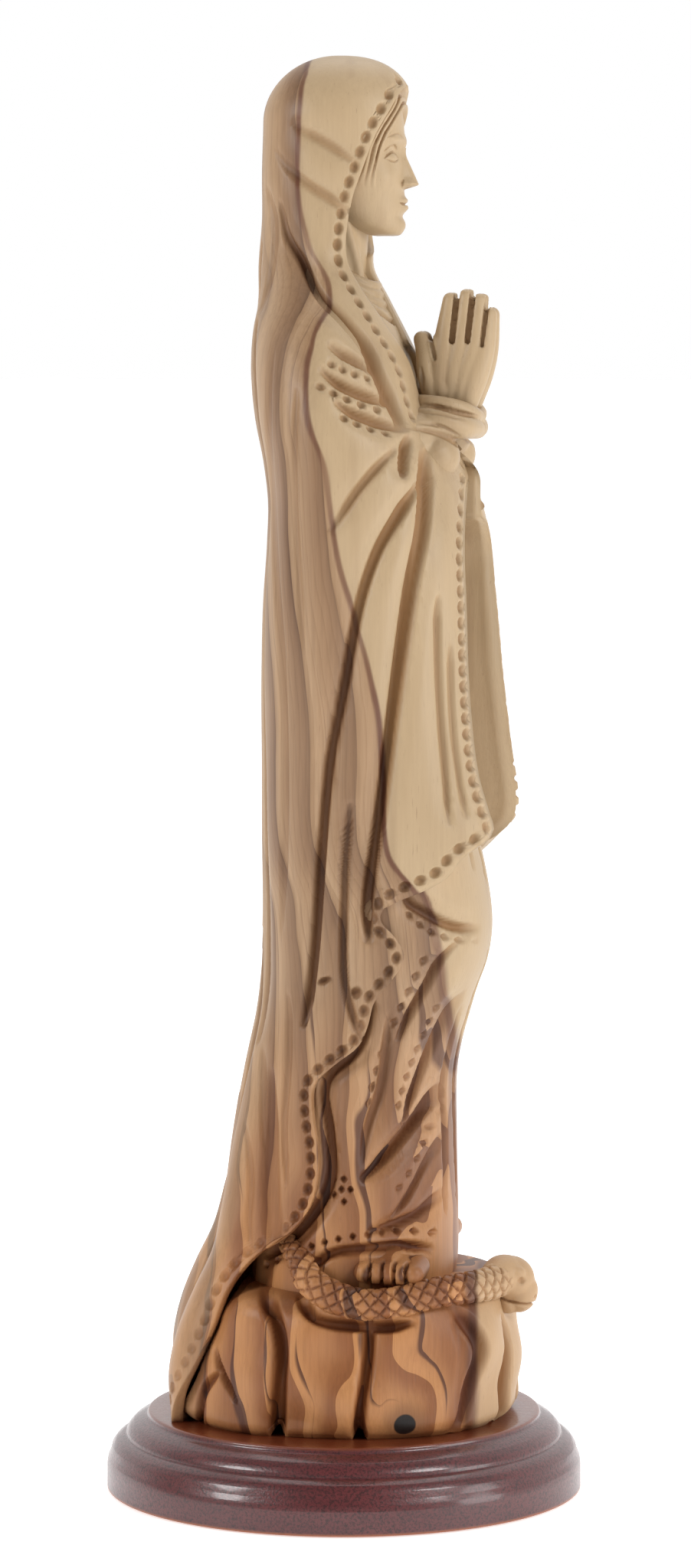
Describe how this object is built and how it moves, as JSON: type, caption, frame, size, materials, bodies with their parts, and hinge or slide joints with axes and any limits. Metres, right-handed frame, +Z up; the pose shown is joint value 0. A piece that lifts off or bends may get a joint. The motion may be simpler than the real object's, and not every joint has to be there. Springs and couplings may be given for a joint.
{
  "type": "madonna statue",
  "caption": "Carved olive-wood Virgin in a long veil, hands joined in prayer, standing with a serpent underfoot on a rock, screwed to a turned round base.",
  "frame": {"origin": "middle of the felt's underside, so the statue stands on z = 0", "axes": "+Z up; the figure faces -Y and its right hand is on the -X side"},
  "size_m": [0.1, 0.1, 0.3],
  "materials": {
    "olive_wood": "hand carved, sanded and waxed to a satin sheen, with dark heartwood streaks",
    "stained_wood": "turned, stained dark red-brown and satin varnished",
    "felt": "matt pressed felt",
    "zinc_steel": "zinc plated"
  },
  "bodies": {
    "root": {"carved_figure": "olive_wood", "turned_base": "stained_wood", "base_felt": "felt", "fixing_screw_front": "zinc_steel", "fixing_screw_back": "zinc_steel"}
  },
  "joints": []
}
